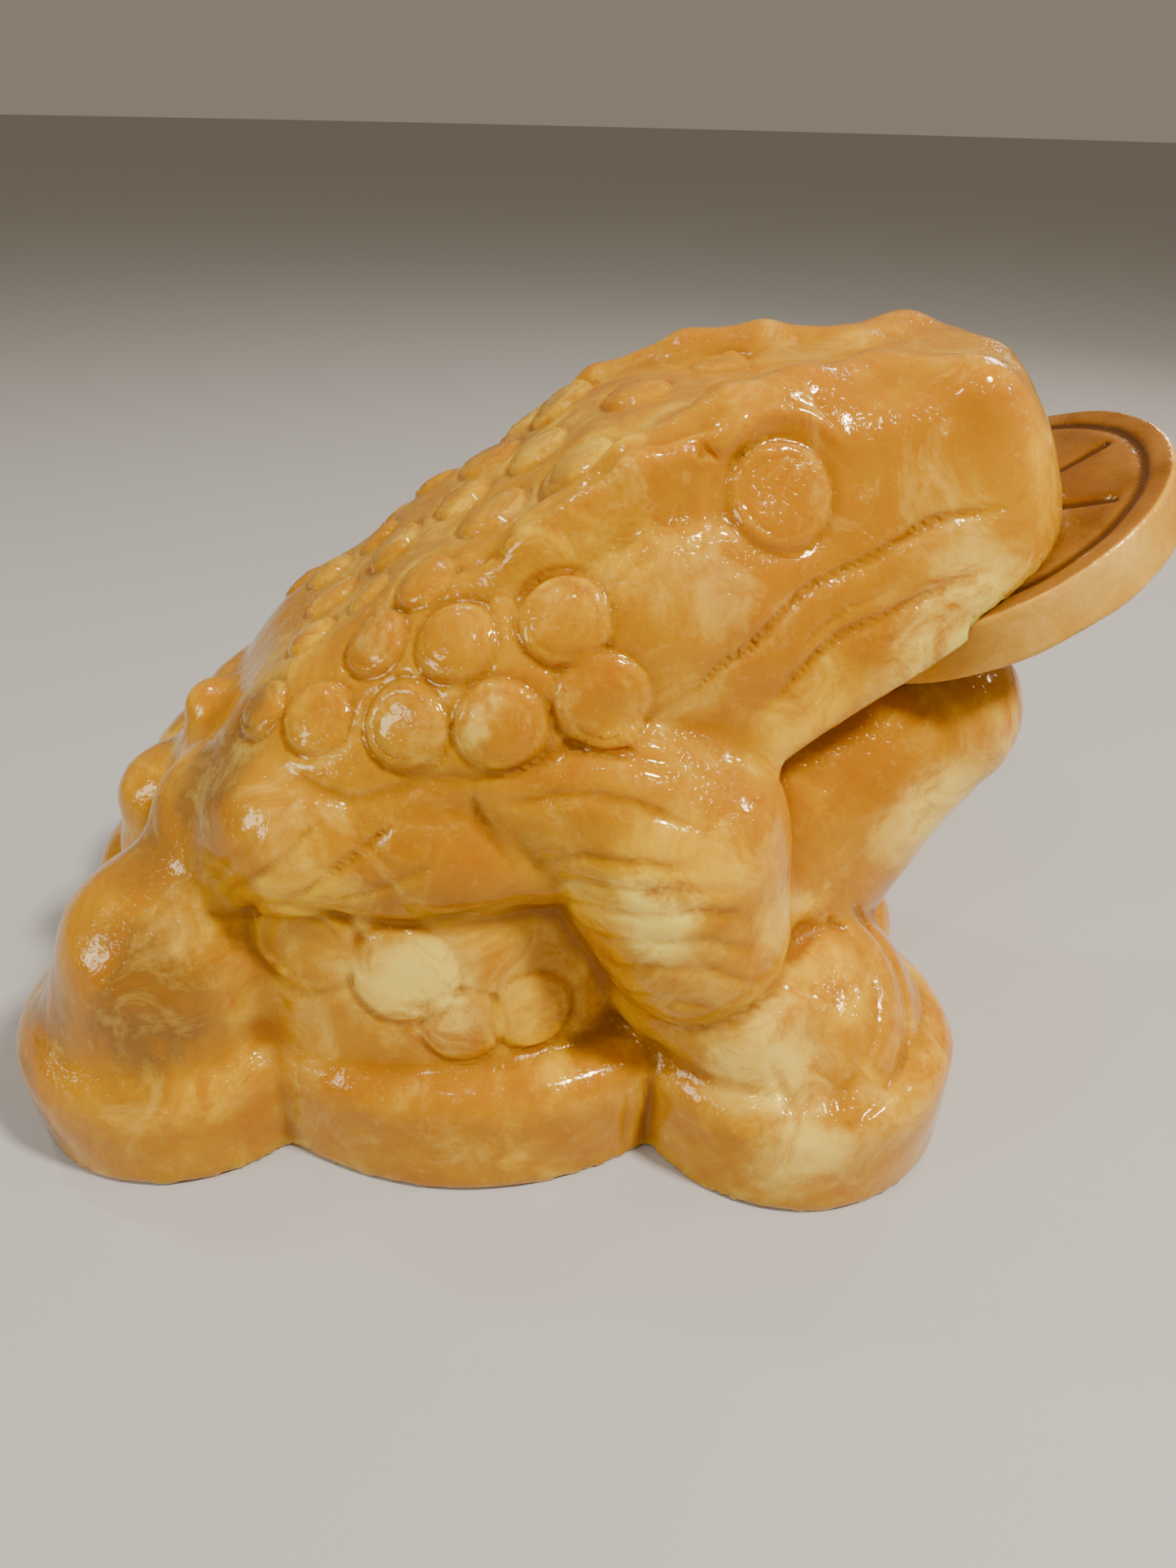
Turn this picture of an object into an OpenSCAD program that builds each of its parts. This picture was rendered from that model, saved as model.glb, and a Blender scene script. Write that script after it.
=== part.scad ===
// Three-legged money toad, carved from one block of yellow stone, with a loose stone coin in its mouth.
// Millimetres. +X is where the toad looks, +Z is up, Z = 0 is the flat underside of the scalloped base.
// The toad's left and right sides mirror each other across the plane Y = 0.

/* [Base] */

// Height of the scalloped base, underside to top
base_h = 24; // [20:1:28]
// Radius of the rounded top edge of the base
base_round = 7; // [3:0.5:9]
// Radius of the broad middle lobes
middle_r = 60; // [56:1:64]
// Radius of the two front lobes
front_r = 33; // [30:1:36]
// Radius of the two rear lobes
rear_r = 31.5; // [29:0.5:34]

/* [Toad] */

// Half width of the flat band along the back, before the back rounds over
back_w = 16; // [12:1:20]
// Size of the round warts on the back, against their usual size
wart_size = 1; // [0.8:0.05:1.1]
// How far the warts stand out of the back
wart_h = 2; // [1:0.2:4]
// Diameter of the raised eye
eye_d = 17; // [14:1:20]
// Half width of the mound of coins the toad sits on
mound_w = 55; // [52:1:57]

/* [Coin] */

// Diameter of the coin in the mouth
coin_d = 71; // [60:1:72]
// Thickness of the coin
coin_t = 11; // [7:0.5:12]
// Upward tilt of the coin, in degrees
coin_tilt = 32; // [30:1:35]
// Width of the flat border ring round the coin's rim
coin_border = 4.5; // [3:0.5:6]
// Depth of the carved groove and pattern on the coin
coin_carve = 0.8; // [0.4:0.1:1.2]
// Clearance between the coin and the mouth on every side
coin_gap = 0.6; // [0.4:0.1:1]

/* [Hidden] */
$fn = 18;

// middle of the coin's upper face
coin_at = [90.5, 0, 109];
// coin faces on the mound: x, sideways distance, z, radius
mound_coins_at = [[-35, 46, 48, 9.5], [-17, 50, 44, 9.2], [-7, 52, 33, 7], [6, 51, 34, 7.5]];
// warts: x, sideways distance, z, radius
warts_at = [
  [-40, 28, 86, 5.5], [-29, 36, 88, 6.2], [-14, 43, 90, 6.9], [1, 47, 92, 7], [17, 45, 95, 7.5],
  [-33, 15, 94, 5], [-19, 31, 99, 6], [-6, 39, 103, 6.5], [11, 41, 107, 7],
  [-11, 26, 108, 5.5], [0, 15, 116, 6.4], [14, 20, 125, 6.8], [42, 9, 134, 5], [-22, 14, 101, 4.5],
  [-31, 0, 95, 5.5], [-18, 0, 104, 6], [-5, 0, 113, 5.5], [9, 0, 121, 6], [26, 0, 131, 6]
];
// how far the mouth is kept open in front of the coin
coin_travel = 80;

// middle and radii of the mound of coins, which is cut off flat inside the belly
mound_at = [-12, 0, 0];
mound_radii = [mound_w + 5, mound_w, 110];

// centre line of the back: distance along X, height, radius
spine = [[-42, 52, 23], [-20, 64, 30], [5, 81, 31], [34, 98, 34]];
// direction at right angles to the sloping back, in the X-Z plane
back_up = [-0.6, 0, 0.8];

// half width of the flat band along the back
function spine_w(x) = lookup(x, [[-42, back_w + 1], [5, back_w], [34, back_w - 8]]);

module both_sides() {
  children();
  mirror([0, 1, 0]) children();
}

module ball(at, r) {
  translate(at) sphere(r = r);
}

module blob(at, radii) {
  translate(at) scale(radii) sphere(r = 1);
}

// a limb: each step is [centre, radius]
module limb(steps) {
  for (i = [0 : len(steps) - 2])
    hull() {
      ball(steps[i][0], steps[i][1]);
      ball(steps[i + 1][0], steps[i + 1][1]);
    }
}

// turns +Z towards a direction
module aim(v) {
  rotate([0, acos(v[2] / norm(v)), atan2(v[1], v[0])]) children();
}

// a low round button on a surface point, with a sunken ring inside its rim and a root below the surface
module disc(at, v, d, h) {
  r = d / 2;
  translate(at) aim(v) rotate_extrude($fn = 12)
    polygon([
      [0, -9], [r * 0.8, -9], [r, 0], [r * 0.86, h * 0.85],
      [r * 0.66, h * 0.55], [r * 0.45, h], [0, h * 1.15]
    ]);
}

// one rounded lobe of the base
module base_lobe(x, y, r) {
  translate([x, y, 0]) rotate_extrude($fn = 40) {
    square([r - base_round, base_h]);
    square([r, base_h - base_round]);
    translate([r - base_round, base_h - base_round]) intersection() {
      circle(r = base_round, $fn = 16);
      square(base_round);
    }
  }
}

module base() {
  both_sides() {
    base_lobe(-64, -26, rear_r);
    base_lobe(-4, -2, middle_r);
    base_lobe(57, -37.5, front_r);
  }
  base_lobe(55, 0, front_r + 1);
  base_lobe(-60, 0, rear_r);
}

// one coin face on the mound, facing away from the mound's middle
module mound_coin(x, y, z, r) {
  at = [x, -y, z];
  disc(at, [for (k = [0 : 2]) (at[k] - mound_at[k]) / pow(mound_radii[k], 2)], 2 * r, 1.6);
}

// heap of coins under the belly, with four coin faces showing on each side
module mound() {
  intersection() {
    blob(mound_at, mound_radii);
    translate([-80, -70, 0]) cube([140, 140, 70]);
  }
  both_sides()
    for (c = mound_coins_at) mound_coin(c[0], c[1], c[2], c[3]);
}

// rounded trunk: the spine's balls swept sideways
module trunk() {
  for (i = [0 : len(spine) - 2])
    hull()
      for (k = [i, i + 1])
        for (side = [-1, 1])
          ball([spine[k][0], side * spine_w(spine[k][0]), spine[k][1]], spine[k][2]);
  blob([24, 0, 56], [36, 34, 36]);
}

// one wart: its direction points away from the spine
module wart(x, y, z, r) {
  lift = (x - spine[2][0]) * back_up[0] + (z - spine[2][1]) * back_up[2];
  disc([x, -y, z], [back_up[0] * lift, -max(y - back_w, 0), back_up[2] * lift], 2 * r * wart_size, wart_h);
}

// warts on each side of the back and along its middle
module warts() {
  both_sides()
    for (w = warts_at) wart(w[0], w[1], w[2], w[3]);
}

// broad wedge of the head: flat cheeks, a flat brow and a blunt snout
module skull() {
  hull() both_sides() {
    ball([6, -20, 104], 8);
    ball([36, -19, 123], 9);
    ball([78, -11, 132], 8);
    ball([90, -12, 122], 8);
    ball([88, -23, 112], 7);
    ball([68, -31, 100], 7);
    ball([42, -36, 86], 7);
    ball([12, -36, 90], 8);
  }
  both_sides() {
    // a ridge from the nape over the eye, pinched in on the muzzle and out again to the nostril
    limb([
      [[6, -27, 111], 6], [[22, -25, 123.5], 7.5], [[38, -21, 130], 8],
      [[51, -16.5, 132], 8], [[65, -10, 132.5], 7.5], [[78, -16.5, 134], 8]
    ]);
    disc([45.5, -30, 122.5], [0.2, -0.92, 0.35], eye_d, 3);
  }
}

// wedge of throat and breast behind, blunt chin in front
module jaw() {
  for (back = [[[44, -11, 55], 27.5], [[58, -11, 48], 28]])
    hull() both_sides() {
      ball(back[0], back[1]);
      ball([84.5, -11, 73.5], 16);
    }
  // solid stone down to the base between the hands
  hull() both_sides() ball([38, -26, 27], 16);
}

// hind leg folded along the flank, and the smooth round foot on the rear lobe
module hind_leg() {
  limb([[[-50, -20, 59], 14], [[-34, -34, 65], 15], [[-8, -38, 66], 13], [[8, -41, 64], 10]]);
  limb([[[-49, -27, 54], 13], [[-61, -31, 36], 19.5], [[-68, -30, 14], 25]]);
}

// arm bent at the elbow, with the hand flat on the front lobe
module front_leg() {
  limb([[[2, -38, 76], 12], [[20, -38, 74], 16], [[30, -39, 64], 20], [[35, -43, 49], 18.5]]);
  limb([[[32, -42, 34], 12], [[46, -47, 30], 13], [[60, -50, 20], 11]]);
  blob([58, -36, 16], [26, 29, 27]);
}

// the third leg, tucked in behind, and the stub of the tail above it
module tail_leg() {
  limb([[[-50, 0, 58], 13], [[-67, 1, 50], 10.5], [[-70, 3, 37], 11], [[-68, 3, 26], 12]]);
  limb([[[-54, 0, 71], 6.5], [[-46, 0, 68], 8]]);
}

// places children in the coin's plane: local Z is the coin's upward axis, local X points out of the mouth
module in_coin_plane() {
  translate(coin_at) rotate([0, -coin_tilt, 0]) children();
}

// room for the coin, open all the way out in front of the mouth
module mouth() {
  r = coin_d / 2 + coin_gap;
  in_coin_plane() translate([0, 0, -coin_t - coin_gap]) {
    cylinder(r = r, h = coin_t + 2 * coin_gap, $fn = 64);
    translate([0, -r, 0]) cube([coin_travel, 2 * r, coin_t + 2 * coin_gap]);
  }
}

module toad_carving() {
  color([0.85, 0.62, 0.24]) difference() {
    union() {
      base();
      mound();
      trunk();
      warts();
      skull();
      jaw();
      both_sides() {
        hind_leg();
        front_leg();
      }
      tail_leg();
      blob([69, 0, 12], [18, 20, 24]);
    }
    mouth();
    translate([-150, -150, -100]) cube([300, 300, 100]);
  }
}

// round coin with a carved border groove and a plain spoke pattern round a square middle
module mouth_coin() {
  r = coin_d / 2;
  color([0.75, 0.53, 0.29]) in_coin_plane() difference() {
    rotate_extrude($fn = 96) {
      translate([0, 1 - coin_t]) square([r, coin_t - 2]);
      translate([0, -coin_t]) square([r - 1, coin_t]);
      translate([r - 1, -1]) circle(r = 1, $fn = 24);
      translate([r - 1, 1 - coin_t]) circle(r = 1, $fn = 24);
    }
    for (z = [-coin_carve, -coin_t - 1])
      translate([0, 0, z]) coin_pattern(coin_carve + 1);
  }
}

// carved lines of one coin face: border groove, square frame and eight spokes
module coin_pattern(depth) {
  r = coin_d / 2 - coin_border;
  difference() {
    cylinder(r = r, h = depth, $fn = 96);
    translate([0, 0, -1]) cylinder(r = r - 2, h = depth + 2, $fn = 96);
  }
  difference() {
    translate([-8, -8, 0]) cube([16, 16, depth]);
    translate([-6.5, -6.5, -1]) cube([13, 13, depth + 2]);
  }
  for (turn = [0 : 45 : 315])
    rotate([0, 0, turn]) translate([13, -0.9, 0]) cube([r - 19, 1.8, depth]);
}

toad_carving();
mouth_coin();
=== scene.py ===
"""Money toad of polished honey-yellow stone on a scalloped base, with a loose stone coin in its mouth.

The carving is sculpted as a distance field, in millimetres as in the CAD source, and meshed here.
Its mesh replaces the plain CAD carving; the coin is a second mesh that rides on the sliding coin body.
"""

import math

import bmesh
import bpy
import numpy as np
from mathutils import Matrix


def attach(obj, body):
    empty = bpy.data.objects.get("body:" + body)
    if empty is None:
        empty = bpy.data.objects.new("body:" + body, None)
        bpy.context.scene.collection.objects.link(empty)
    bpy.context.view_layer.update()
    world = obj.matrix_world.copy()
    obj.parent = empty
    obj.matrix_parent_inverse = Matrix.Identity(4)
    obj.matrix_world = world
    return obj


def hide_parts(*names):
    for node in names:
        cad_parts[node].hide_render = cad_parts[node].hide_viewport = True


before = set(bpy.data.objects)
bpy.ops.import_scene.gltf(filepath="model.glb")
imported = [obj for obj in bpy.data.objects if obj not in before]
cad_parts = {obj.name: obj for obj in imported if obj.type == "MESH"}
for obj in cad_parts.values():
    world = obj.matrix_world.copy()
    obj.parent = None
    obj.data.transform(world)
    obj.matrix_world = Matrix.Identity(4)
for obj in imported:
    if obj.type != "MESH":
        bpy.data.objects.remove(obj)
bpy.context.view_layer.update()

import openvdb
from mathutils import Matrix, Vector

MM = 0.001  # one millimetre, in metres

# ---------------------------------------------------------------- sizes, in millimetres

BASE_H = 24.0  # height of the base
BASE_ROUND = 7.0  # radius of its rounded top edge

# the base's round lobes on one side: centre along X, sideways distance, radius
BASE_LOBES = [
    (-64.0, 26.0, 31.5), (-4.0, 2.0, 60.0), (57.0, 37.5, 33.0), (55.0, 0.0, 34.0), (-60.0, 0.0, 31.5),
]

# centre line of the back: distance along X, height, radius
SPINE = [(-42.0, 52.0, 23.0), (-20.0, 64.0, 30.0), (5.0, 81.0, 31.0), (34.0, 98.0, 34.0)]

# the mound of coins is the lower part of an ellipsoid
MOUND_AT = np.array([-12.0, 0.0, 0.0])
MOUND_RADII = np.array([60.0, 55.0, 110.0])
MOUND_TOP = 70.0

COIN_AT = np.array([90.5, 0.0, 109.0])  # middle of the coin's upper face
COIN_R = 35.5
COIN_T = 11.0
COIN_TILT = math.radians(32.0)
COIN_GAP = 0.6  # clearance to the mouth
COIN_OUT = np.array([math.cos(COIN_TILT), 0.0, math.sin(COIN_TILT)])
COIN_UP = np.array([-math.sin(COIN_TILT), 0.0, math.cos(COIN_TILT)])
COIN_TRAVEL = 80.0  # how far the mouth is kept open in front of the coin

EYE_AT = np.array([45.5, 30.0, 122.6])
EYE_R = 8.2

CAMERA_AT = (1.8, -196.1, 174.4)

# spacing of the sampling grids that the two meshes are made from
TOAD_STEP = 1.6
COIN_STEP = 0.75


# ---------------------------------------------------------------- distance-field tools


def length(v):
    return np.sqrt((v * v).sum(-1))


def unit(v):
    v = np.asarray(v, float)
    return v / np.linalg.norm(v)


def blend(a, b, k):
    """union of two distances, with a fillet about k wide"""
    h = np.maximum(k - np.abs(a - b), 0.0) / k
    return np.minimum(a, b) - h * h * k * 0.25


def cut(a, b, k):
    """the part of a that is also in b, with a rounded edge about k wide"""
    return -blend(-a, -b, k)


def ellipsoid(p, centre, radii):
    q = p - np.array(centre, float)
    r = np.array(radii, float)
    k0 = length(q / r)
    k1 = length(q / (r * r)) + 1e-9
    return k0 * (k0 - 1.0) / k1


def rounded_cone(p, a, ra, b, rb):
    a = np.array(a, float)
    d = np.array(b, float) - a
    q = p - a
    t = np.clip((q @ d) / (d @ d), 0.0, 1.0)
    return length(q - t[..., None] * d) - (ra + t * (rb - ra))


def limb(p, steps, k):
    """a chain of rounded cones; each step is (centre, radius)"""
    out = None
    for (a, ra), (b, rb) in zip(steps[:-1], steps[1:]):
        part = rounded_cone(p, a, ra, b, rb)
        out = part if out is None else blend(out, part, k)
    return out


def plane(p, normal, through):
    return (p - np.array(through, float)) @ unit(normal)


def widened(p, w):
    """folds the middle band |y| < w onto y = 0, so a shape in it is swept sideways"""
    q = p.copy()
    q[..., 1] = np.maximum(p[..., 1] - w, 0.0)
    return q


def rounded_slab(side, top, bottom, r_top, r_bottom):
    """a solid of the given plan distance between two heights, with rounded edges"""
    r = np.where(top > bottom, r_top, r_bottom)
    cap = np.maximum(top, bottom)
    a = side + r
    b = cap + r
    outside = np.sqrt(np.maximum(a, 0.0) ** 2 + np.maximum(b, 0.0) ** 2)
    return np.minimum(np.maximum(a, b), 0.0) + outside - r


def ripple(p, size, seed):
    """smooth unevenness between about -1 and 1, made of crossed waves"""
    rng = np.random.default_rng(seed)
    total = 0.0
    for _ in range(6):
        way = unit(rng.normal(size=3))
        total = total + np.sin(p @ way * (2 * math.pi / size) * rng.uniform(0.7, 1.4) + rng.uniform(0, 6.3))
    return total / 3.0


def gradient(field, p, step=0.2):
    out = np.empty_like(p)
    for axis in range(3):
        shift = np.zeros(3)
        shift[axis] = step
        out[:, axis] = (field(p + shift) - field(p - shift)) / (2 * step)
    return out


def settle(field, p, rounds=4):
    """moves points along the field's slope onto its surface"""
    for _ in range(rounds):
        g = gradient(field, p)
        slope = np.maximum((g * g).sum(-1), 0.2)
        step = np.clip(field(p) / slope, -0.8, 0.8)
        p = p - step[:, None] * g
    return p


# ---------------------------------------------------------------- the toad's main masses (y is |y|)


def base_shape(q):
    x, y, z = q[..., 0], q[..., 1], q[..., 2]
    side = None
    for cx, cy, r in BASE_LOBES:
        lobe = np.sqrt((x - cx) ** 2 + (y - cy) ** 2) - r
        side = lobe if side is None else blend(side, lobe, 2.0)
    return rounded_slab(side, z - BASE_H, -z, BASE_ROUND, 0.8)


def mound_shape(q):
    heap = ellipsoid(q, MOUND_AT, MOUND_RADII)
    return cut(heap, q[..., 2] - MOUND_TOP, 4.0)


def trunk_half_width(x):
    return np.clip(16.0 - 0.26 * (x - 5.0), 8.0, 17.0)


def trunk_shape(q):
    swept = widened(q, trunk_half_width(q[..., 0]))
    back = limb(swept, [((x, 0, z), r) for x, z, r in SPINE], 8.0)
    return blend(back, ellipsoid(q, (24, 0, 56), (36, 34, 36)), 6.0)


def hind_leg(q):
    return limb(q, [((-50, 20, 59), 14), ((-34, 34, 65), 15), ((-8, 38, 66), 13), ((8, 41, 64), 10)], 6.0)


def hind_foot(q):
    return limb(q, [((-49, 27, 54), 13), ((-61, 31, 36), 19.5), ((-68, 30, 14), 25)], 8.0)


def front_leg(q):
    return limb(q, [((2, 38, 76), 12), ((20, 38, 74), 16), ((30, 39, 64), 20), ((35, 43, 49), 18.5)], 8.0)


def hand(q):
    return limb(q, [((32, 42, 34), 12), ((46, 47, 30), 13), ((60, 50, 20), 11)], 6.0)


def tail_leg(p):
    leg = limb(p, [((-50, 0, 58), 13), ((-67, 1, 50), 10.5), ((-70, 3, 37), 11), ((-68, 3, 26), 12)], 3.0)
    return blend(leg, rounded_cone(p, (-54, 0, 71), 6.5, (-46, 0, 68), 8.0), 4.0)


def jaw_shape(q):
    """a wedge: throat and breast behind, blunt chin in front"""
    swept = widened(q, 11.0)
    chin = ((84.5, 0, 73.5), 16)
    throat = rounded_cone(swept, (44, 0, 55), 27.5, *chin)
    return blend(throat, rounded_cone(swept, (58, 0, 48), 28, *chin), 8.0)


# raised ridge from the nape over the eye, pinched in on the muzzle, out again to the nostril
BROW_RIDGE = [
    ((6, 29, 116), 3.5), ((22, 27, 127), 4.2), ((38, 23, 133.5), 4.5), ((51, 17.5, 135.5), 4.5),
    ((65, 9, 136), 4.2), ((78, 18, 137.5), 4.5),
]


def skull_shape(q):
    """flat polished faces with soft edges: brow, nape, cheek, lip, snout"""
    brow = plane(q, (-0.16, 0, 1), (65, 0, 138))
    nape = plane(q, (-0.62, 0, 0.8), (20, 0, 127))
    cheek = plane(q, (0.03, 0.95, 0.36), (40, 26, 133))
    low_cheek = plane(q, (0.23, 1.0, 0.0), (43, 43.5, 78))
    lip = plane(q, (0.53, 0.0, -0.85), (68, 0, 92))
    snout = plane(q, (1, 0.38, 0.10), (101, 12, 118))
    snout_top = plane(q, (1, 0.3, 0.70), (93, 14, 133))
    behind = plane(q, (-1, 0, -0.35), (8, 0, 100))
    out = cut(cut(brow, cheek, 7.0), low_cheek, 6.0)
    for face, soft in [(snout, 10.0), (snout_top, 6.0), (behind, 10.0), (lip, 3.0), (nape, 8.0)]:
        out = cut(out, face, soft)
    return blend(out, limb(q, BROW_RIDGE, 3.0), 5.0)


def coin_space(p, grow, travel):
    """the coin grown by a clearance, and swept outwards by a travel"""
    q = p - (COIN_AT - COIN_UP * COIN_T / 2)
    along = q @ COIN_OUT
    along = along - np.clip(along, 0.0, travel)
    side = np.sqrt(along**2 + q[..., 1] ** 2) - COIN_R - grow
    high = q @ COIN_UP
    return rounded_slab(side, high - COIN_T / 2 - grow, -high - COIN_T / 2 - grow, 1.0, 1.0)


def masses(p):
    """distance to the whole carving, before its surface relief"""
    warped = p + np.stack([ripple(p, 70.0, s) for s in (1, 2, 3)], -1) * 0.7
    q = warped.copy()
    q[..., 1] = np.abs(q[..., 1])
    body = blend(trunk_shape(q), hind_leg(q), 2.0)
    jaw = jaw_shape(q)
    arm = front_leg(q)
    body = blend(body, jaw, 6.0)
    body = blend(body, rounded_cone(q, (38, 0, 27), 16.0, (38, 26, 27), 16.0), 2.0)
    body = blend(body, hand(q), 2.0)
    # the arm melts into the jaw low down and stays sharply cut from it higher up
    low = np.clip((64.0 - q[..., 2]) / 16.0, 0.0, 1.0)
    body = np.minimum(blend(body, arm, 1.2), blend(jaw, arm, 1.2 + 10.0 * low))
    body = blend(body, tail_leg(warped), 3.0)
    body = blend(body, skull_shape(q), 4.0)
    plain = p.copy()
    plain[..., 1] = np.abs(p[..., 1])
    out = blend(base_shape(plain), mound_shape(q), 3.0)
    out = blend(out, body, 3.0)
    out = blend(out, hind_foot(q), 5.0)
    out = blend(out, ellipsoid(q, (58, 36, 16), (26, 29, 27)), 2.5)
    out = blend(out, ellipsoid(q, (69, 0, 12), (18, 20, 24)), 2.0)
    out = cut(out, -coin_space(p, COIN_GAP, COIN_TRAVEL), 1.0)
    return np.maximum(out, -p[..., 2])


# ---------------------------------------------------------------- relief carved into the surface


# warts on the back: x, sideways distance, z, radius
WARTS = [
    (-40, 28, 86, 5.5), (-29, 36, 88, 6.2), (-14, 43, 90, 6.9), (1, 47, 92, 7.0), (17, 45, 95, 7.5),
    (-33, 15, 94, 5.0), (-19, 31, 99, 6.0), (-6, 39, 103, 6.5), (11, 41, 107, 7.0),
    (-11, 26, 108, 5.5), (0, 15, 116, 6.4), (14, 20, 125, 6.8), (42, 9, 134, 5.0),
    (-31, 0, 95, 5.5), (-18, 0, 104, 6.0), (-22, 14, 101, 4.5),
    (-5, 0, 113, 5.5), (9, 0, 121, 6.0), (26, 0, 131, 6.0),
]

# coin faces on the mound: x, sideways distance, z, radius
MOUND_COINS = [(-35, 46, 48, 9.5), (-17, 50, 44, 9.2), (-7, 52, 33, 7.0), (6, 51, 34, 7.5)]


def outward(at):
    """direction out of the smooth masses at a point near their surface"""
    at = np.array([at])
    return unit(gradient(masses, at)[0])


def button(x, y, z, radius, height):
    """a round raised disc: (centre on the surface, outward direction, radius, height)"""
    at = settle(masses, np.array([[x, float(y), z]]))[0]
    return at, outward(at), radius, height


def buttons():
    discs = [button(x, y, z, r, 0.17 * r) for x, y, z, r in WARTS]
    discs += [button(x, y, z, r, 0.08 * r) for x, y, z, r in MOUND_COINS]
    return discs + [button(*EYE_AT, EYE_R, 1.0)]


# grooves drawn on the side view as chains of (x, z) points: (points, depth, half width)
LIP_LINES = [
    ([(29, 92), (36, 99), (44, 105.5), (57, 112.5), (71, 118), (88, 122)], 1.15, 0.9),
    ([(43, 90), (49, 96), (56, 101), (67, 106.5), (83, 113)], 1.0, 0.9),
    ([(48, 99), (58, 106), (70, 111.5)], 0.5, 0.7),
    ([(62, 99), (72, 103), (80, 106.5)], 0.4, 0.6),
]
BODY_CREASES = [
    (
        [(-42, 78), (-33, 80), (-24, 78.5), (-15, 80), (-6, 83), (5, 86.5), (17, 88.5), (29, 86), (42, 80)],
        0.8, 1.3,
    ),
    ([(-58, 53), (-40, 53.5), (-23, 54.5), (-7, 56), (3, 60)], 0.8, 1.3),
    ([(-4, 83), (-3, 77), (0, 71), (4, 65)], 0.7, 1.1),
]
ARM_WRINKLES = [
    ([(0, 80), (10, 82), (22, 81), (34, 78)], 0.8, 0.9),
    ([(5, 67), (14, 72), (24, 73), (35, 71)], 0.8, 0.9),
    ([(7, 63), (18, 68), (30, 68.5), (41, 66)], 0.7, 0.9),
    ([(9, 58), (20, 63), (32, 64), (43, 61)], 0.8, 0.9),
    ([(11, 53), (22, 57), (34, 58), (45, 54)], 0.7, 0.9),
    ([(14, 47), (25, 51), (36, 51.5), (46, 47)], 0.7, 0.9),
    ([(17, 41), (27, 44), (38, 43)], 0.5, 0.9),
]
THIGH_WRINKLES = [
    ([(-51, 58), (-47, 63), (-42, 69), (-37, 75)], 0.6, 1.0),
    ([(-48, 57), (-41, 64), (-33, 71), (-27, 76)], 0.9, 1.0),
    ([(-38, 58), (-30, 64), (-22, 70), (-15, 77)], 0.9, 0.9),
    ([(-28, 59), (-18, 64), (-9, 71)], 0.7, 0.9),
]
FOOT_LINES = [
    ([(22.5, -2), (23.5, 22)], 0.5, 0.9),
    ([(27, -2), (27, 22)], 0.3, 0.9),
    ([(53, 19), (50, 27), (46, 34)], 0.6, 1.2),
    ([(61, 19), (58, 28), (53, 37)], 0.6, 1.2),
]
SIDE_GROOVES = LIP_LINES + BODY_CREASES + ARM_WRINKLES + THIGH_WRINKLES + FOOT_LINES


def button_relief(q):
    """raised discs with a sunken ring inside the rim and a moat round them"""
    out = np.zeros(q.shape[:-1])
    for centre, normal, radius, height in BUTTONS:
        near = q - centre
        inside = np.abs(near).max(-1) < radius * 1.7
        d = near[inside]
        up = d @ normal
        rho = length(d - up[..., None] * normal) / radius
        rise = height / (1.0 + np.exp((rho - 0.97) * 26.0))
        dome = height * 0.25 * np.clip(1.0 - rho * rho, 0.0, 1.0)
        ring = -0.40 * height * np.exp(-(((rho - 0.76) / 0.07) ** 2))
        moat = -0.55 * np.exp(-(((rho - 1.10) / 0.11) ** 2))
        fade = np.clip(1.6 - np.abs(up) / (radius * 0.8), 0.0, 1.0)
        out[inside] += (rise + dome + ring + moat) * fade
    return out


def line_distance(u, v, points):
    """distance in a plane to a chain of points, and a fade that falls to 0 at the chain's two ends"""
    best = np.full(u.shape, 1e9)
    along = np.zeros(u.shape)
    total = len(points) - 1
    for i, ((au, av), (bu, bv)) in enumerate(zip(points[:-1], points[1:])):
        du, dv = bu - au, bv - av
        t = np.clip(((u - au) * du + (v - av) * dv) / (du * du + dv * dv), 0.0, 1.0)
        d = np.hypot(u - au - t * du, v - av - t * dv)
        nearer = d < best
        best = np.where(nearer, d, best)
        along = np.where(nearer, (i + t) / total, along)
    return best, np.clip(np.minimum(along, 1.0 - along) / 0.2, 0.0, 1.0)


def groove_relief(q):
    out = np.zeros(q.shape[:-1])
    x, y, z = q[..., 0], q[..., 1], q[..., 2]
    sway = ripple(q, 22.0, 11) * 0.9
    outer = np.clip((y - 16.0) / 4.0, 0.0, 1.0)
    for points, depth, width in SIDE_GROOVES:
        d, fade = line_distance(x, z + sway, points)
        wide = width * (0.5 + 0.5 * fade)
        out -= depth * fade * np.exp(-((d / wide) ** 2)) * outer
    return out


def swirl_relief(q):
    """shell lines that curl round the front lobe"""
    d = length(q - np.array([50.0, 44.0, 26.0]))
    on_lobe = (q[..., 0] > 60.0) & (q[..., 2] > 8.0) & (q[..., 2] < 44.0)
    rings = sum(np.exp(-(((d - r) / 0.9) ** 2)) for r in (17.0, 22.0, 27.0))
    return -0.7 * rings * on_lobe


def fold_relief(q):
    """the double fold line from the brow down the back, and the arc over the eye"""
    x, y, z = q[..., 0], q[..., 1], q[..., 2]
    d, fade = line_distance(x, y, [(-16, 28), (4, 33), (18, 33), (30, 31), (42, 29)])
    high = np.clip((z - 96.0) / 4.0, 0.0, 1.0) * fade
    fold = (1.2 * np.exp(-((d / 1.3) ** 2)) - 0.7 * np.exp(-(((d - 3.0) / 1.1) ** 2))) * high
    reach = length(q - EYE_AT)
    above = np.clip(((z - EYE_AT[2]) + 0.45 * (EYE_AT[0] - x)) / 6.0, 0.0, 1.0)
    arc = 0.8 * np.exp(-(((reach - 13.0) / 1.2) ** 2)) * above * (y > 15.0)
    return fold + arc


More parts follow.
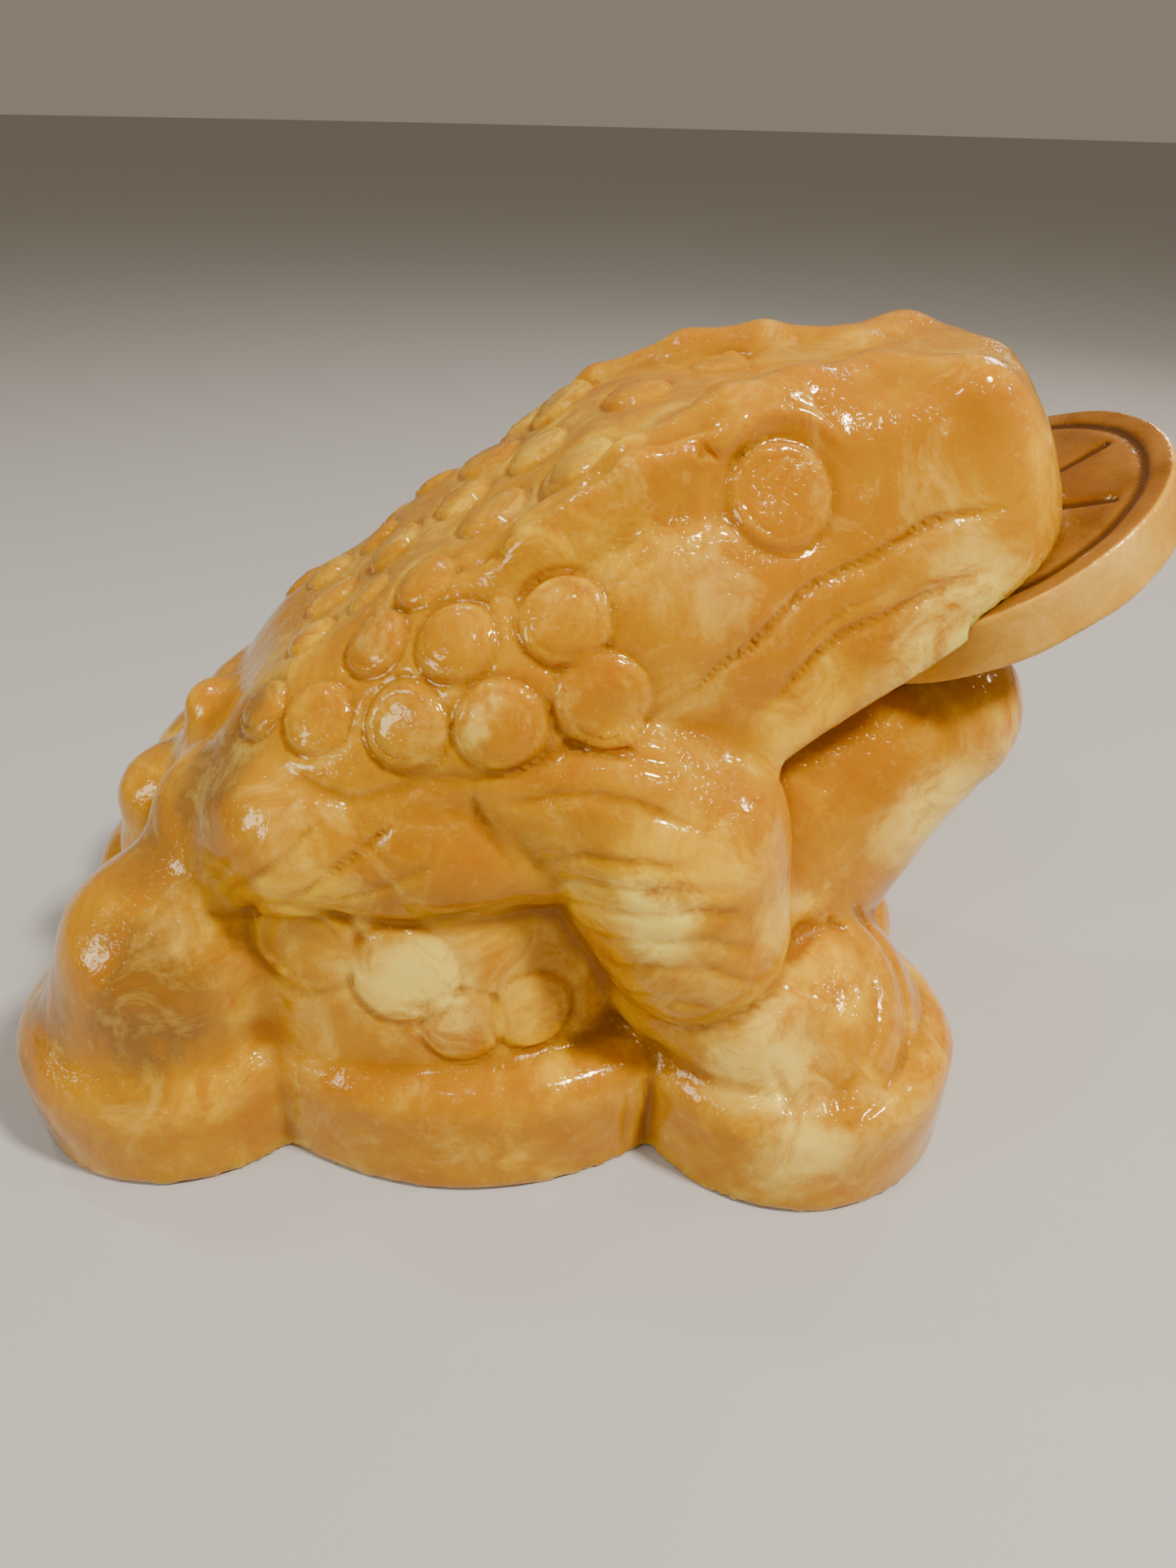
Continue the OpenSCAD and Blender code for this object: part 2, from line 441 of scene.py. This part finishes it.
def rough_relief(q):
    """chisel marks left in the two rough hollows on the thigh, and faint waves of hand polishing"""
    out = 0.10 * ripple(q, 9.0, 21) + 0.22 * ripple(q, 26.0, 22)
    for centre, radius in [((-21.0, 49.0, 71.0), 7.0), ((-5.0, 49.0, 75.0), 6.0)]:
        near = np.exp(-((length(q - np.array(centre)) / radius) ** 2))
        out += near * (0.3 * ripple(q, 4.0, 23) - 0.5)
    return out


def relief(p):
    q = p.copy()
    q[..., 1] = np.abs(p[..., 1])
    low = np.clip(p[..., 2] / 2.0, 0.0, 1.0)
    mouth = np.clip(coin_space(p, COIN_GAP, COIN_TRAVEL) / 1.5, 0.0, 1.0)
    carved = button_relief(q) + groove_relief(q) + swirl_relief(q) + fold_relief(q)
    return (carved + rough_relief(q)) * low * mouth


def toad(p):
    return masses(p) - relief(p)


BUTTONS = buttons()


# ---------------------------------------------------------------- meshing


def field_mesh(field, low, high, step):
    """the field's zero surface as quads, from samples on a regular grid"""
    axes = [np.arange(a, b + step, step) for a, b in zip(low, high)]
    values = np.empty([len(a) for a in axes], np.float32)
    for i, x in enumerate(axes[0]):
        grid = np.stack(np.meshgrid([x], axes[1], axes[2], indexing="ij"), -1)
        values[i] = field(grid)[0]
    volume = openvdb.FloatGrid(3.0)
    volume.copyFromArray(values)
    points, quads = volume.convertToQuads(isovalue=0.0)
    return points * step + np.array([a[0] for a in axes]), quads


def build_mesh(name, points, quads, detail=None):
    """a smooth-shaded closed mesh; faces where detail is true at a corner are split in four"""
    bm = bmesh.new()
    verts = [bm.verts.new(p) for p in points]
    for quad in quads:
        bm.faces.new([verts[i] for i in quad])
    if bm.calc_volume(signed=True) < 0:
        bmesh.ops.reverse_faces(bm, faces=bm.faces)
    if detail is not None:
        marked = detail(np.array([v.co for v in verts]))
        bm.verts.index_update()
        edges = [e for e in bm.edges if marked[e.verts[0].index] and marked[e.verts[1].index]]
        bmesh.ops.subdivide_edges(bm, edges=edges, cuts=1, use_grid_fill=True)
    bmesh.ops.triangulate(bm, faces=[f for f in bm.faces if len(f.verts) > 4])
    mesh = bpy.data.meshes.new(name)
    bm.to_mesh(mesh)
    bm.free()
    return mesh


def coords(mesh):
    co = np.empty(len(mesh.vertices) * 3)
    mesh.vertices.foreach_get("co", co)
    return co.reshape(-1, 3)


def neighbour_mean(mesh, values):
    """each vertex's average over its edge neighbours"""
    ends = np.empty(len(mesh.edges) * 2, int)
    mesh.edges.foreach_get("vertices", ends)
    a, b = ends[0::2], ends[1::2]
    total = np.zeros_like(values)
    count = np.zeros(len(values))
    for i, j in ((a, b), (b, a)):
        np.add.at(total, i, values[j])
        np.add.at(count, i, 1.0)
    return total / (count[:, None] if values.ndim == 2 else count)


def hollows(mesh, field, p):
    """how sunken each vertex lies against its surroundings: 0.5 on a flat place, 1 in a deep groove"""
    normal = gradient(field, p)
    normal /= np.maximum(length(normal), 1e-6)[:, None]
    spread = p
    for _ in range(3):
        spread = neighbour_mean(mesh, spread)
    hollow = ((spread - p) * normal).sum(-1)
    for _ in range(2):
        hollow = neighbour_mean(mesh, hollow)
    return np.clip(hollow / 0.45, -1.0, 1.0) * 0.5 + 0.5


def finish_mesh(mesh, field, relax, stain=None):
    """evens the mesh out, settles it on the field, stores where it is hollow or stained, scales to metres"""
    p = coords(mesh)
    for _ in range(relax):
        p = p * 0.5 + neighbour_mean(mesh, p) * 0.5
        p = settle(field, p, 2)
    p = settle(field, p, 2)
    hollow = hollows(mesh, field, p) if stain is None else stain(p)
    mesh.vertices.foreach_set("co", (p * MM).ravel())
    layer = mesh.attributes.new("hollow", "FLOAT", "POINT")
    layer.data.foreach_set("value", hollow)
    mesh.shade_smooth()
    mesh.update()


def add_object(mesh, material):
    obj = bpy.data.objects.new(mesh.name, mesh)
    bpy.context.scene.collection.objects.link(obj)
    mesh.materials.append(material)
    return obj


# ---------------------------------------------------------------- the coin


def coin_local(p):
    """coin coordinates: along the way out, sideways, height above the upper face"""
    q = p - COIN_AT
    return q @ COIN_OUT, q[..., 1], q @ COIN_UP


def coin_pattern(p):
    """1 in the carved lines of both faces: a border ring, a square in the middle and eight spokes"""
    along, side, high = coin_local(p)
    rho = np.hypot(along, side)
    turn = np.arctan2(side, along)
    ring = np.exp(-(((rho - COIN_R * 0.86) / 1.0) ** 2))
    square = np.maximum(np.abs(along), np.abs(side))
    frame_line = np.exp(-(((square - 7.2) / 0.9) ** 2))
    eighth = math.pi / 4
    across = np.abs((turn + eighth / 2) % eighth - eighth / 2) * rho
    spoke = np.exp(-((across / 1.0) ** 2)) * (rho > 12.5) * (rho < COIN_R * 0.78)
    on_face = np.maximum(np.exp(-((high / 1.6) ** 2)), np.exp(-(((high + COIN_T) / 1.6) ** 2)))
    return np.maximum(np.maximum(ring, frame_line), spoke) * on_face


def coin_field(p):
    return coin_space(p, 0.0, 0.0) + 0.8 * coin_pattern(p) + 0.12 * ripple(p, 14.0, 31) + 0.06


# ---------------------------------------------------------------- materials

HONEY = (0.57, 0.26, 0.001)
HONEY_PALE = (0.84, 0.48, 0.004)
DEEP = (0.49, 0.18, 0.001)
CREAM = (1.0, 0.73, 0.12)
BROWN = (0.25, 0.11, 0.020)
# painted shade: the deep orange that the toad's hollows and grooves are darkened to
PAINTED_HOLLOW_SHADE = (0.40, 0.135, 0.001)
COIN_EDGE = [(0.56, 0.26, 0.010), (0.70, 0.37, 0.040), (0.84, 0.52, 0.12)]
COIN_FACE = [(0.19, 0.065, 0.006), (0.30, 0.12, 0.015), (0.40, 0.18, 0.030)]
COIN_STAIN = (0.10, 0.032, 0.005)


def nodes_of(name):
    material = bpy.data.materials.new(name)
    material.use_nodes = True
    tree = material.node_tree
    return material, tree, tree.nodes["Principled BSDF"]


def noise(tree, coord, scale, detail=4.0, rough=0.55, distortion=0.0):
    node = tree.nodes.new("ShaderNodeTexNoise")
    node.inputs["Scale"].default_value = scale
    node.inputs["Detail"].default_value = detail
    node.inputs["Roughness"].default_value = rough
    node.inputs["Distortion"].default_value = distortion
    tree.links.new(coord, node.inputs["Vector"])
    return node.outputs["Fac"]


def ramp(tree, value, stops):
    node = tree.nodes.new("ShaderNodeValToRGB")
    while len(node.color_ramp.elements) < len(stops):
        node.color_ramp.elements.new(0.5)
    for element, (at, colour) in zip(node.color_ramp.elements, stops):
        element.position = at
        element.color = (*colour, 1.0)
    tree.links.new(value, node.inputs["Fac"])
    return node.outputs["Color"]


def mix(tree, fac, a, b):
    node = tree.nodes.new("ShaderNodeMix")
    node.data_type = "RGBA"
    for socket, value in ((node.inputs[0], fac), (node.inputs[6], a), (node.inputs[7], b)):
        if isinstance(value, tuple):
            socket.default_value = (*value, 1.0)
        elif isinstance(value, float):
            socket.default_value = value
        else:
            tree.links.new(value, socket)
    return node.outputs[2]


def grey(tree, value, low, high):
    return ramp(tree, value, [(low, (0, 0, 0)), (high, (1, 1, 1))])


def maths(tree, kind, a, b):
    node = tree.nodes.new("ShaderNodeMath")
    node.operation = kind
    for socket, value in zip(node.inputs, (a, b)):
        if isinstance(value, float):
            socket.default_value = value
        else:
            tree.links.new(value, socket)
    return node.outputs[0]


def bump(tree, height, distance, normal=None):
    node = tree.nodes.new("ShaderNodeBump")
    node.inputs["Distance"].default_value = distance
    tree.links.new(height, node.inputs["Height"])
    if normal is not None:
        tree.links.new(normal, node.inputs["Normal"])
    return node.outputs["Normal"]


def mirrored_place(tree, wobble):
    """object coordinates with y made positive, stirred by noise so that patches get ragged edges"""
    place = tree.nodes.new("ShaderNodeTexCoord").outputs["Object"]
    stir = tree.nodes.new("ShaderNodeTexNoise")
    stir.inputs["Scale"].default_value = 38.0
    stir.inputs["Detail"].default_value = 5.0
    stir.inputs["Roughness"].default_value = 0.62
    tree.links.new(place, stir.inputs["Vector"])
    shift = tree.nodes.new("ShaderNodeVectorMath")
    shift.operation = "MULTIPLY_ADD"
    tree.links.new(stir.outputs["Color"], shift.inputs[0])
    shift.inputs[1].default_value = (wobble,) * 3
    tree.links.new(place, shift.inputs[2])
    centred = tree.nodes.new("ShaderNodeVectorMath")
    centred.operation = "SUBTRACT"
    tree.links.new(shift.outputs[0], centred.inputs[0])
    centred.inputs[1].default_value = (wobble / 2,) * 3
    apart = tree.nodes.new("ShaderNodeSeparateXYZ")
    tree.links.new(centred.outputs[0], apart.inputs[0])
    joined = tree.nodes.new("ShaderNodeCombineXYZ")
    tree.links.new(apart.outputs["X"], joined.inputs["X"])
    tree.links.new(maths(tree, "ABSOLUTE", apart.outputs["Y"], 0.0), joined.inputs["Y"])
    tree.links.new(apart.outputs["Z"], joined.inputs["Z"])
    return place, joined.outputs[0]


def patches(tree, folded, spots):
    """1 inside any of the soft round spots, given in millimetres as (x, y, z, radius)"""
    total = None
    for x, y, z, radius in spots:
        away = tree.nodes.new("ShaderNodeVectorMath")
        away.operation = "DISTANCE"
        tree.links.new(folded, away.inputs[0])
        away.inputs[1].default_value = (x * MM, y * MM, z * MM)
        soft = tree.nodes.new("ShaderNodeMapRange")
        soft.interpolation_type = "SMOOTHSTEP"
        soft.inputs["From Min"].default_value = radius * MM * 1.35
        soft.inputs["From Max"].default_value = radius * MM * 0.45
        tree.links.new(away.outputs["Value"], soft.inputs["Value"])
        total = soft.outputs[0] if total is None else maths(tree, "MAXIMUM", total, soft.outputs[0])
    return total


def polish(tree, shader, place, hollow, gloss):
    """a hand-polished skin: shiny on the high places, dull and pitted in the hollows"""
    uneven = maths(tree, "MULTIPLY", noise(tree, place, 300.0, 4.0, 0.6), 0.10)
    worn = maths(tree, "MULTIPLY", grey(tree, hollow, 0.60, 0.90), 0.18)
    tree.links.new(maths(tree, "ADD", maths(tree, "ADD", uneven, worn), gloss), shader.inputs["Roughness"])
    pits = grey(tree, noise(tree, place, 1100.0, 2.0, 0.5), 0.32, 0.46)
    waves = bump(tree, noise(tree, place, 110.0, 2.0, 0.5), 0.00030)
    chatter = bump(tree, noise(tree, place, 380.0, 2.0, 0.5), 0.00012, waves)
    tree.links.new(bump(tree, pits, 0.00004, chatter), shader.inputs["Normal"])
    shader.inputs["IOR"].default_value = 1.50
    shader.inputs["Specular Tint"].default_value = (1.0, 0.80, 0.42, 1.0)
    shader.inputs["Subsurface Radius"].default_value = (1.0, 0.5, 0.1)


def hollow_mask(tree):
    node = tree.nodes.new("ShaderNodeAttribute")
    node.attribute_name = "hollow"
    return node.outputs["Fac"]


# cloudy areas of the stone, with painted shade and a painted highlight among them, in millimetres, the same
# on both sides: x, sideways distance, z, radius
PALE_SPOTS = [
    (93, 20, 124, 12), (30, 58, 72, 13), (-30, 50, 60, 8), (20, 20, 127, 8), (8, 52, 33, 10),
    (52, 40, 88, 10), (62, 50, 44, 9),
]
# cream clouds, with a painted highlight: the two large spots on the chin and breast below the coin stand in
# for its bright highlight
CREAM_AND_HIGHLIGHT_SPOTS = [
    (76, 34, 99, 14), (48, 58, 28, 12), (95, 14, 72, 14), (83, 31, 61, 13), (-14, 52, 42, 12),
    (54, 66, 14, 9), (26, 60, 62, 8), (-1, 47, 92, 5),
]
# deeper orange: partly the stone's own orange, as on the head, and partly painted shade under the arm and on
# the shadowed sides between the masses
ORANGE_AND_SHADE_SPOTS = [
    (40, 36, 112, 14), (60, 30, 119, 9), (72, 22, 133, 12), (62, 34, 78, 13), (12, 50, 46, 9),
    (88, 50, 14, 12), (-8, 48, 76, 11), (30, 24, 126, 9), (10, 44, 100, 8), (50, 22, 128, 13),
    (-22, 30, 100, 10), (45, 32, 122, 11),
]
BROWN_SPOTS = [
    (-84, 35, 30, 15), (-60, 30, 56, 12), (-46, 32, 72, 12), (-88, 40, 12, 12), (-42, 30, 86, 9),
    (-61, 50, 38, 17),
]


def honey_stone_material():
    """translucent honey yellow with cream clouds, orange depths and a browner rump; painted shade darkens
    the hollows and grooves and, through some orange spots, the shadowed sides under the arm, and a painted
    highlight lightens the chin
    """
    material, tree, shader = nodes_of("honey stone")
    place, folded = mirrored_place(tree, 0.030)
    hollow = hollow_mask(tree)
    cloud = noise(tree, place, 30.0, 7.0, 0.62, 0.8)
    fleck = noise(tree, place, 240.0, 7.0, 0.75, 0.3)
    veins = noise(tree, place, 70.0, 8.0, 0.70, 0.7)
    colour = ramp(tree, cloud, [(0.30, DEEP), (0.45, HONEY), (0.55, HONEY), (0.68, HONEY_PALE)])
    # the orange spots also lay painted shade under the arm; the cream spots also lay a painted highlight on
    # the chin
    areas = [
        (ORANGE_AND_SHADE_SPOTS, DEEP, 0.75), (PALE_SPOTS, HONEY_PALE, 0.95), (CREAM_AND_HIGHLIGHT_SPOTS, CREAM, 0.92),
        (BROWN_SPOTS, BROWN, 0.90),
    ]
    for spots, tint, strength in areas:
        colour = mix(tree, maths(tree, "MULTIPLY", patches(tree, folded, spots), strength), colour, tint)
    colour = mix(tree, maths(tree, "MULTIPLY", grey(tree, veins, 0.53, 0.68), 0.35), colour, CREAM)
    colour = mix(tree, grey(tree, veins, 0.34, 0.52), DEEP, colour)
    colour = mix(tree, maths(tree, "MULTIPLY", grey(tree, fleck, 0.56, 0.70), 0.22), colour, CREAM)
    # painted shade: hollows and grooves darkened towards deep orange
    colour = mix(tree, grey(tree, hollow, 0.56, 0.84), colour, PAINTED_HOLLOW_SHADE)
    tree.links.new(colour, shader.inputs["Base Color"])
    polish(tree, shader, place, hollow, 0.03)
    shader.inputs["Subsurface Weight"].default_value = 0.75
    shader.inputs["Subsurface Scale"].default_value = 0.009
    return material


def coin_stone_material():
    """tan stone, less clear than the toad, with brown stain in the carved lines"""
    material, tree, shader = nodes_of("coin stone")
    coordinate = tree.nodes.new("ShaderNodeTexCoord")
    place = coordinate.outputs["Object"]
    carved = hollow_mask(tree)
    cloud = noise(tree, place, 60.0, 6.0, 0.65, 0.5)
    edge = ramp(tree, cloud, list(zip((0.30, 0.50, 0.70), COIN_EDGE)))
    face = ramp(tree, cloud, list(zip((0.30, 0.50, 0.75), COIN_FACE)))
    facing = tree.nodes.new("ShaderNodeVectorMath")
    facing.operation = "DOT_PRODUCT"
    tree.links.new(coordinate.outputs["Normal"], facing.inputs[0])
    facing.inputs[1].default_value = tuple(COIN_UP)
    flat = grey(tree, maths(tree, "ABSOLUTE", facing.outputs["Value"], 0.0), 0.70, 0.92)
    colour = mix(tree, flat, edge, face)
    colour = mix(tree, grey(tree, carved, 0.20, 0.70), colour, COIN_STAIN)
    tree.links.new(colour, shader.inputs["Base Color"])
    polish(tree, shader, place, carved, 0.10)
    shader.inputs["Subsurface Weight"].default_value = 0.5
    shader.inputs["Subsurface Scale"].default_value = 0.003
    return material


def plain_floor(name, colour):
    material, _, shader = nodes_of(name)
    shader.inputs["Base Color"].default_value = (*colour, 1.0)
    shader.inputs["Roughness"].default_value = 0.7
    return material


# ---------------------------------------------------------------- the pieces

honey_stone = honey_stone_material()
coin_stone = coin_stone_material()

points, quads = field_mesh(masses, (-100, -75, -3), (108, 75, 147), TOAD_STEP)


def has_detail(p):
    """true where the relief changes by more than 0.25 mm within 1.5 mm"""
    steps = 1.5 * np.array([[0, 0, 0], [1, 0, 0], [-1, 0, 0], [0, 0, 1], [0, 0, -1]])
    near = [relief(p + d) for d in steps]
    return np.ptp(near, 0) > 0.25


toad_mesh = build_mesh("toad", points, quads, has_detail)
finish_mesh(toad_mesh, toad, 2)
toad_obj = add_object(toad_mesh, honey_stone)
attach(toad_obj, "carving")
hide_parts("toad_carving")

coin_low = COIN_AT - np.array([COIN_R + 8, COIN_R + 2, COIN_R])
coin_high = COIN_AT + np.array([COIN_R + 2, COIN_R + 2, COIN_R - 8])
points, quads = field_mesh(coin_field, coin_low, coin_high, COIN_STEP)
coin_mesh = build_mesh("coin", points, quads)
finish_mesh(coin_mesh, coin_field, 1, coin_pattern)
coin_obj = add_object(coin_mesh, coin_stone)
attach(coin_obj, "coin")
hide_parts("mouth_coin")

# ---------------------------------------------------------------- stage, light and camera

bpy.ops.mesh.primitive_circle_add(vertices=96, radius=12.0, fill_type="NGON")
floor = bpy.context.object
floor.data.materials.append(plain_floor("floor", (0.50, 0.49, 0.48)))

world = bpy.data.worlds.new("studio")
bpy.context.scene.world = world
world.use_nodes = True
world.node_tree.nodes["Background"].inputs["Color"].default_value = (1.0, 0.86, 0.66, 1.0)
world.node_tree.nodes["Background"].inputs["Strength"].default_value = 0.25


def area_light(name, at, size, power, colour):
    """a square light that faces the toad's middle"""
    data = bpy.data.lights.new(name, "AREA")
    data.size = size
    data.energy = power
    data.color = colour
    light = bpy.data.objects.new(name, data)
    bpy.context.scene.collection.objects.link(light)
    light.location = at
    aim = np.array([0.0, 0.0, 0.07]) - np.array(at)
    light.rotation_mode = "QUATERNION"
    light.rotation_quaternion = Vector(aim).to_track_quat("-Z", "Y")


area_light("key", (0.40, -0.30, 0.75), 0.10, 9.2, (1.0, 0.92, 0.80))
area_light("window", (-0.75, -0.35, 0.35), 0.28, 3.5, (0.85, 0.92, 1.0))
area_light("back", (0.5, 0.55, 0.45), 0.15, 1.2, (1.0, 0.9, 0.78))
for number, at in enumerate([(-0.15, -0.45, 0.80), (0.75, -0.10, 0.55), (-0.35, 0.30, 0.75)]):
    area_light(f"lamp_{number}", at, 0.05, 1.0, (1.0, 0.92, 0.80))

# camera: looks down 32 degrees from in front of the toad's right side, a little past its middle
YAW = math.radians(-5.0)
PITCH = math.radians(32.0)
ROLL = math.radians(1.4)
forward = np.array([-math.sin(YAW) * math.cos(PITCH), math.cos(YAW) * math.cos(PITCH), -math.sin(PITCH)])
level = np.array([math.cos(YAW), math.sin(YAW), 0.0])
upward = np.cross(level, forward)
right = level * math.cos(ROLL) + upward * math.sin(ROLL)
up = upward * math.cos(ROLL) - level * math.sin(ROLL)
rows = [[right[i], up[i], -forward[i], CAMERA_AT[i] * MM] for i in range(3)]
view = Matrix(rows + [[0, 0, 0, 1]])
camera_data = bpy.data.cameras.new("camera")
camera_data.sensor_fit = "VERTICAL"
camera_data.sensor_height = 36.0
camera_data.lens = 24.94
camera_data.clip_start = 0.01
camera = bpy.data.objects.new("camera", camera_data)
bpy.context.scene.collection.objects.link(camera)
camera.matrix_world = view
bpy.context.scene.camera = camera
